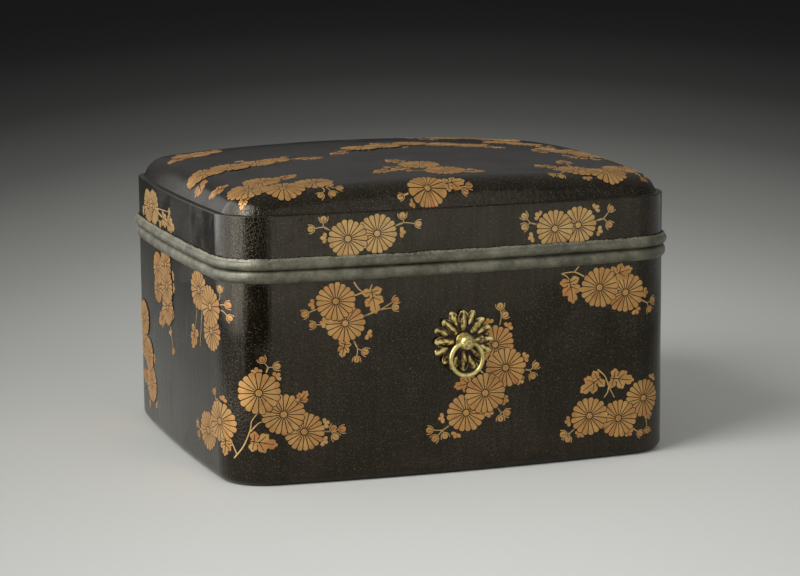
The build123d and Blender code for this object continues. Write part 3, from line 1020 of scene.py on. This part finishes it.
# in each motif, place turns (u, v) from the motif's middle into a point on the surface and its normal
def blossom(shape, place, radius, layer, rng, tone):
    form = sprayForm
    count = form["petals"] + rng.choice((-1, 0, 0, 1))
    low = layer * form["layer"]
    half = math.pi / count
    heart = radius * form["heart"]
    first = rng.uniform(0, half)
    lengths = [radius * (1 + rng.uniform(-0.035, 0.03)) for k in range(count)]
    # the dark ground, notched between the petals' tips
    mask = []
    for share in (0.05, 0.35, 0.7, 1.0):
        ring = []
        for k in range(count):
            tip = radius * math.tan(half)
            for f, cut in ((-0.5, 0.62), (-0.25, 0.12), (0.0, 0.0), (0.25, 0.12)):
                a = first + (2 * k + 2 * f) * half
                r = (lengths[k] + form["border"] - tip * cut) * share
                ring.append((r * math.sin(a), r * math.cos(a)))
        mask.append(ring)
    spots = [[place(u, v) for u, v in ring] for ring in mask]
    rings = [[p + n * (low + form["ground"]) for p, n in ring] for ring in spots]
    rings += [[p - n * form["sunk"] for p, n in ring] for ring in reversed(spots)]
    addRings(shape, rings, slot=1)
    for k in range(count):
        a = first + 2 * k * half
        ca, sa = math.cos(a), math.sin(a)
        length = lengths[k]
        tip = length * math.tan(half) * 0.98 - form["gap"] / 2
        start = heart + form["gap"]
        radii = [start + share * (length - tip - start) for share in (0, 0.33, 0.66, 1)]
        radii += [length - share * tip for share in (0.5, 0.2, 0.03)]
        top, bottom = [], []
        for r in radii:
            wide = r * math.tan(half) - form["gap"] / 2
            if r > length - tip:
                wide = min(wide, tip * math.sqrt(1 - ((r - length + tip) / tip) ** 2))
            spots = [(r * sa + q * wide * ca, r * ca - q * wide * sa, form["edge"] if q else 1)
                     for q in (-1, 0, 1)]
            addRow(top, bottom, place, spots, low)
        spread, (often, redder) = form["petalTint"], form["redPetal"]
        tint = tone + rng.uniform(-spread, spread) + (redder if rng.random() < often else 0)
        addSheet(shape, top, bottom, 0, tint)
    addBead(shape, place, heart, low, tone, 18)


# one more row of a sheet: (u, v, share of the skin's height) for each of its points
def addRow(top, bottom, place, spots, low):
    placed = [place(u, v) + (high,) for u, v, high in spots]
    top.append([p + n * (low + sprayForm["skin"] * high) for p, n, high in placed])
    bottom.append([p - n * sprayForm["sunk"] for p, n, high in placed])


def addBead(shape, place, radius, low, tint, count=14):
    rings = []
    for share, high in ((0.3, 1.25), (0.75, 1.1), (1.0, sprayForm["edge"])):   # of its radius and of the skin
        spots = [place(radius * share * math.sin(a), radius * share * math.cos(a)) for a in circle(count)]
        rings.append([p + n * (low + sprayForm["skin"] * high) for p, n in spots])
    rings.append([p - n * sprayForm["sunk"] for p, n in spots])
    addRings(shape, rings, tint=tint)


def smoothLine(points, steps=5):
    ends = [points[0]] + list(points) + [points[-1]]
    made = []
    for k in range(1, len(ends) - 2):
        for i in range(steps):
            t = i / steps
            spot = []
            for a, b, c, d in zip(*ends[k - 1:k + 3]):
                bend = (2 * a - 5 * b + 4 * c - d) * t * t + (3 * b - a - 3 * c + d) * t ** 3
                spot.append(0.5 * (2 * b + (c - a) * t + bend))
            made.append(tuple(spot))
    return made + [tuple(map(float, points[-1]))]


def stroke(shape, place, points, width, tint=0.15, low=0.0, taper=0.6, slot=0):
    line = smoothLine(points)
    top, bottom = [], []
    for i, (u, v) in enumerate(line):
        a, b = line[max(i - 1, 0)], line[min(i + 1, len(line) - 1)]
        du, dv = b[0] - a[0], b[1] - a[1]
        size = math.hypot(du, dv) or 1.0
        wide = width * (1 - (1 - taper) * i / (len(line) - 1)) / 2
        spots = [(u - q * dv / size * wide, v + q * du / size * wide, sprayForm["edge"]) for q in (-1, 1)]
        addRow(top, bottom, place, spots, low)
    addSheet(shape, top, bottom, slot, tint)


# a pad of gold with a rounded outer end, from start to end along a direction out of (u0, v0)
def pad(shape, place, u0, v0, turn, start, end, wide, tint, low=0.0):
    ca, sa = math.cos(turn), math.sin(turn)
    top, bottom = [], []
    widest = 0.6
    for t in (0.0, 0.15, 0.3, 0.45, 0.6, 0.75, 0.87, 0.95, 0.995):
        r = start + (end - start) * t
        w = wide * ((0.35 + 1.08 * t) if t < widest else math.sqrt(1 - ((t - widest) / (1 - widest)) ** 2))
        spots = [(u0 + r * sa + q * w * ca, v0 + r * ca - q * w * sa, 1 if abs(q) < 1 else sprayForm["edge"])
                 for q in (-1, -0.4, 0.4, 1)]
        addRow(top, bottom, place, spots, low)
    addSheet(shape, top, bottom, 0, tint)


def leaf(shape, place, turn, length, rng, tone):
    # lobes in pairs along the midrib and one at its end, each of three round pads with a dark vein
    form = leafForm
    reach, wide = form["middle"]
    pad(shape, place, 0, 0, turn, 0, length * reach, length * wide, tone, -0.02)
    for layer, (along, angle, reach) in enumerate(form["lobes"]):
        u, v = length * along * math.sin(turn), length * along * math.cos(turn)
        way = turn + math.radians(angle + rng.uniform(-form["sway"], form["sway"]))
        tint = tone + rng.choice(form["tints"])
        far = length * reach
        for side, share in form["pads"]:
            low = 0.012 * layer + (0.02 if side == 0 else 0)
            pad(shape, place, u, v, way + side, 0.3, far * share, length * form["padWidth"], tint, low)
        line = [(u + far * r * math.sin(way), v + far * r * math.cos(way)) for r in (0, 0.4, 0.75)]
        stroke(shape, place, line, form["vein"], low=form["veinHeight"], taper=0.6, slot=1)
    line = [(length * t * math.sin(turn), length * t * math.cos(turn)) for t in (0.0, 0.3, 0.55)]
    stroke(shape, place, line, form["vein"], low=form["veinHeight"], taper=0.8, slot=1)


def bud(shape, place, turn, rng, tone):
    # a round bud held by a thin cup whose ends flare
    form = budForm
    radius = form["radius"] * rng.uniform(0.92, 1.08)
    addBead(shape, place, radius, 0, tone + rng.choice(form["tints"]))
    cup = []
    for a in form["cup"]:
        r = radius + form["cupGap"] + form["cupFlare"] * (abs(a) / form["cup"][-1]) ** 5
        cup.append((-r * math.sin(turn + math.radians(a)), -r * math.cos(turn + math.radians(a))))
    stroke(shape, place, cup, form["cupWidth"], tone + form["cupTint"], taper=1.0)
    slit = [(radius * f * math.sin(turn), radius * f * math.cos(turn)) for f in form["slit"]]
    stroke(shape, place, slit, form["slitWidth"], low=0.1, slot=1)


def leafBud(shape, place, turn, rng, tone):
    # three small pads that spread from one foot
    form = budForm
    u, v = -form["leafFoot"] * math.sin(turn), -form["leafFoot"] * math.cos(turn)
    for angle in form["leafTurns"]:
        tint = tone + rng.choice(form["tints"])
        pad(shape, place, u, v, turn + math.radians(angle), *form["leafPad"], tint)


# for a surface: its own point at (a, b), and a place function for a motif round (a, b)
def surfaceTools(kind):
    if kind == "wall":
        return onWall, lambda a, b: (lambda u, v: onWall(a + u, b + v))
    stop, e = crownForm["footInset"] + crownForm["goldStop"], 0.2

    def near(a, b):
        # walks out from (a, b) over the crown in short steps, so that a motif keeps its size on the slope
        def place(u, v):
            far = math.hypot(u, v)
            if far < 1e-6:
                return onCrown(a, b)
            steps = max(1, round(far / 2.5))
            du, dv, x, y = u / far, v / far, a, b
            for k in range(steps):
                if insetAt(x, y) < stop:
                    break
                rise = (crownHeight(x + du * e, y + dv * e) - crownHeight(x - du * e, y - dv * e)) / (2 * e)
                go = far / steps / math.sqrt(1 + rise * rise)
                x, y = x + du * go, y + dv * go
            return onCrown(x, y)
        return place
    return onCrown, near


def paintSpray(shape, spray, seed):
    kind, body, ratio, blossoms, buds, leaves, stems = spray
    form = sprayForm
    rng = random.Random(seed)
    tone = 0.25 if (kind, body) == ("wall", "lid") else 0.5
    stemTint = tone + form["stemTint"]
    at, near = surfaceTools(kind)

    def stretched(a, b):
        place = near(a, b)
        return lambda u, v: place(u * ratio, v)

    for line in stems:
        stroke(shape, at, line, form["stem"] * form["thickStem"], stemTint)
    for k, (a, b, radius) in enumerate(blossoms):
        blossom(shape, stretched(a, b), radius, len(blossoms) - 1 - k, rng, tone)
    loose = []
    for a, b in buds:
        c = min(blossoms, key=lambda q: math.hypot((q[0] - a) / ratio, q[1] - b) - q[2])
        gap = math.hypot((c[0] - a) / ratio, c[1] - b) - c[2]
        if gap < budForm["near"]:
            leafBud(shape, stretched(a, b), outwards(c, a, b), rng, tone)
        else:
            loose.append((a, b, c))
    for a, b, c in loose:
        # buds near each other share a stem that forks halfway
        friends = [(p, q) for p, q, d in loose if d == c and math.hypot(p - a, q - b) < form["fork"]]
        mx, my = sum(p for p, q in friends) / len(friends), sum(q for p, q in friends) / len(friends)
        far = math.hypot(mx - c[0], my - c[1])
        root = c[2] * form["stemRoot"]
        rx, ry = c[0] + (mx - c[0]) / far * root, c[1] + (my - c[1]) / far * root
        jx, jy = rx + (mx - rx) / 2, ry + (my - ry) / 2
        away = math.hypot(a - jx, b - jy) or 1.0
        ex, ey = a - (a - jx) / away * form["budEnd"], b - (b - jy) / away * form["budEnd"]
        stroke(shape, at, [(rx, ry), (jx, jy), (ex, ey)], form["stem"], stemTint)
        bud(shape, stretched(a, b), math.atan2(a - jx, b - jy), rng, tone)
    for a, b, *given in leaves:
        if given:
            turn, length = math.radians(given[0]), given[1]
        else:
            c = min(blossoms, key=lambda q: math.hypot(q[0] - a, q[1] - b))
            turn, length = outwards(c, a, b), leafForm["length"] * rng.uniform(0.9, 1.05)
            back = leafForm["foot"] * length
            a, b = a - back * math.sin(turn), b - back * math.cos(turn)
            rim = (c[0] + c[2] * 0.98 * math.sin(turn), c[1] + c[2] * 0.98 * math.cos(turn))
            stroke(shape, at, [rim, (a, b)], form["stem"], stemTint)
        leaf(shape, stretched(a, b), turn, length, rng, tone)


def makeSprays():
    groups, grown = {}, []
    rng = random.Random(41)
    for (kind, body), rows in farSprays.items():
        for blossoms in rows:
            buds, leaves = growRound(kind, body, blossoms, rng)
            grown.append((kind, body, growth["wide"], blossoms, buds, leaves, []))
    for index, spray in enumerate(sprays + grown):
        side = "near" if index < len(sprays) else "far"
        paintSpray(groups.setdefault(spray[:2] + (side,), newShape()), spray, index + 1)
    for (kind, body, side), shape in groups.items():
        name = "goldSprays_" + kind + "_" + body + "_" + side
        makePiece(name, shape, [gold, lacquer], body, 30)


makeSprays()
print("sprays made")


# stage, light and camera
# the floor's colour is a painted pool of light: pale in one place and falling off to near black all round,
# standing in for the lamps' fall-off
stageForm = {
    "radius": 9.0,
    "centre": (-0.145, -0.662, 0),   # the middle of the pool of light painted on the paper, in metres
    "turn": -0.321,                  # radians, and how much longer the painted pool of light is than wide
    "stretch": 3.55,
    "reach": 2.5,                    # metres from there to the end of the tones
    "tones": [(0.04, "#eaebe6"), (0.08, "#e1e2dd"), (0.14, "#c8c9c4"), (0.2, "#a0a19c"), (0.28, "#6c6c69"),
              (0.36, "#454544"), (0.48, "#242424"), (0.58, "#171717"), (0.76, "#0e0f0f"), (0.95, "#0b0b0b")],
}


def makeStage():
    form, count = stageForm, 96
    mesh = bpy.data.meshes.new("floor")
    edge = [(form["radius"] * math.cos(a), form["radius"] * math.sin(a), 0.0) for a in circle(count)]
    mesh.from_pydata(edge, [], [tuple(range(count))])
    material, tree, shader, place = newMaterial("paperWithPaintedLightPool")
    shift = addNode(tree, "Mapping", {0: place, "Location": form["centre"], "Rotation": (0, 0, form["turn"]),
                                      "Scale": (1, form["stretch"], 1)}, vector_type="TEXTURE")
    away = addNode(tree, "VectorMath", {0: shift}, out="Value", operation="LENGTH")
    share = addNode(tree, "Math", {0: away, 1: form["reach"]}, operation="DIVIDE")
    # the painted pool of light and its fall-off into the dark, as the paper's colour
    tone = addNode(tree, "ValToRGB", {0: share}, form["tones"])
    setInputs(tree, shader, {"Base Color": tone, "Roughness": 0.9, "Specular IOR Level": 0.1})
    mesh.materials.append(material)
    floor = bpy.data.objects.new("floor", mesh)
    bpy.context.scene.collection.objects.link(floor)


lamps = {
    # place and target in metres, size in metres, power in watts, whether it only shows as a reflection
    "key": ((-1.7, -0.7, 1.5), (0, 0, 0.05), (1.3, 1.3), 36, False),
    "fill": ((0.6, -2.6, 1.5), (0, 0, 0.05), (1.6, 1.2), 9.5, False),
    "leftBoxFront": ((-0.55, -0.235, 0.36), (0, -0.235, 0.36), (0.27, 0.7), 3.5, True),
    "leftBoxMiddle": ((-0.55, 0.25, 0.36), (0, 0.25, 0.36), (0.7, 0.7), 4.4, True),
    "leftBoxBack": ((-0.55, 1.15, 0.36), (0, 1.15, 0.36), (1.1, 0.7), 1.8, True),
    "frontStrip": ((0.21, -0.62, 0.11), (0.21, 0, 0.11), (0.82, 0.2), 0.55, True),
    "sideStrip": ((0.62, -0.17, 0.11), (0, -0.17, 0.11), (0.9, 0.2), 0.27, True),
}
# a black card low in front on the left, which keeps the near corner dark beside its highlight, in metres
cardForm = {
    "left": (-0.355, -0.252),
    "right": (-0.12, -0.414),
    "height": 0.3,
    "fibre": 5,   # mm
}
# the air's grey, from the horizon upwards
airTones = [(0.0, "#181818"), (0.06, "#4c4c4b"), (0.2, "#686867"), (0.5, "#7c7c7b"), (0.85, "#a4a4a4")]


def makeCard():
    form = cardForm
    mesh = bpy.data.meshes.new("blackCard")
    (ax, ay), (bx, by), high = form["left"], form["right"], form["height"]
    mesh.from_pydata([(ax, ay, 0), (bx, by, 0), (bx, by, high), (ax, ay, high)], [], [(0, 1, 2, 3)])
    material, tree, shader, place = newMaterial("blackCardPaper")
    fibre = addNode(tree, "TexNoise", {"Vector": place, "Scale": 1000 / form["fibre"]})
    tone = addNode(tree, "ValToRGB", {0: fibre}, [(0.3, "#0b0b0b"), (0.7, "#151515")])
    setInputs(tree, shader, {"Base Color": tone, "Roughness": 0.9})
    mesh.materials.append(material)
    card = bpy.data.objects.new("blackCard", mesh)
    card.visible_camera = card.visible_diffuse = card.visible_shadow = False
    bpy.context.scene.collection.objects.link(card)


def makeLight():
    for name, (place, target, size, power, onlyGloss) in lamps.items():
        lamp = bpy.data.lights.new(name, "AREA")
        lamp.shape = "RECTANGLE"
        lamp.size, lamp.size_y = size
        lamp.energy = power
        made = bpy.data.objects.new(name, lamp)
        made.location = place
        made.rotation_euler = (Vector(target) - Vector(place)).to_track_quat("-Z", "Y").to_euler()
        made.visible_camera = False
        made.visible_diffuse = not onlyGloss
        bpy.context.scene.collection.objects.link(made)
    world = bpy.data.worlds.new("studioAir")
    world.use_nodes = True
    tree = world.node_tree
    way = addNode(tree, "TexCoord", out="Generated")
    upward = addNode(tree, "SeparateXYZ", {0: way}, out="Z")
    tone = addNode(tree, "ValToRGB", {0: upward}, airTones)
    setInputs(tree, tree.nodes["Background"], {"Color": tone})
    bpy.context.scene.world = world


# degrees, metres and millimetres of lens
cameraView = {
    "azimuth": -18.66,
    "elevation": 9.669,
    "roll": -0.531,
    "distance": 1.5086,
    "target": (0, 0, 0.0768),
    "lens": 117.8,
    "shift": (0.00856, 0.01419),
}


def makeCamera():
    view = cameraView
    az, el, roll = (math.radians(view[k]) for k in ("azimuth", "elevation", "roll"))
    back = Vector((math.sin(az) * math.cos(el), -math.cos(az) * math.cos(el), math.sin(el)))
    right = Vector((math.cos(az), math.sin(az), 0))
    up = back.cross(right)
    right, up = right * math.cos(roll) + up * math.sin(roll), up * math.cos(roll) - right * math.sin(roll)
    camera = bpy.data.cameras.new("camera")
    camera.lens = view["lens"]
    camera.shift_x, camera.shift_y = view["shift"]
    made = bpy.data.objects.new("camera", camera)
    turned = Matrix((right, up, back)).transposed().to_4x4()
    turned.translation = Vector(view["target"]) + back * view["distance"]
    made.matrix_world = turned
    bpy.context.scene.collection.objects.link(made)
    bpy.context.scene.camera = made
    bpy.context.scene.view_settings.view_transform = "Standard"


makeStage()
makeCard()
makeLight()
makeCamera()
print("stage, light and camera made")
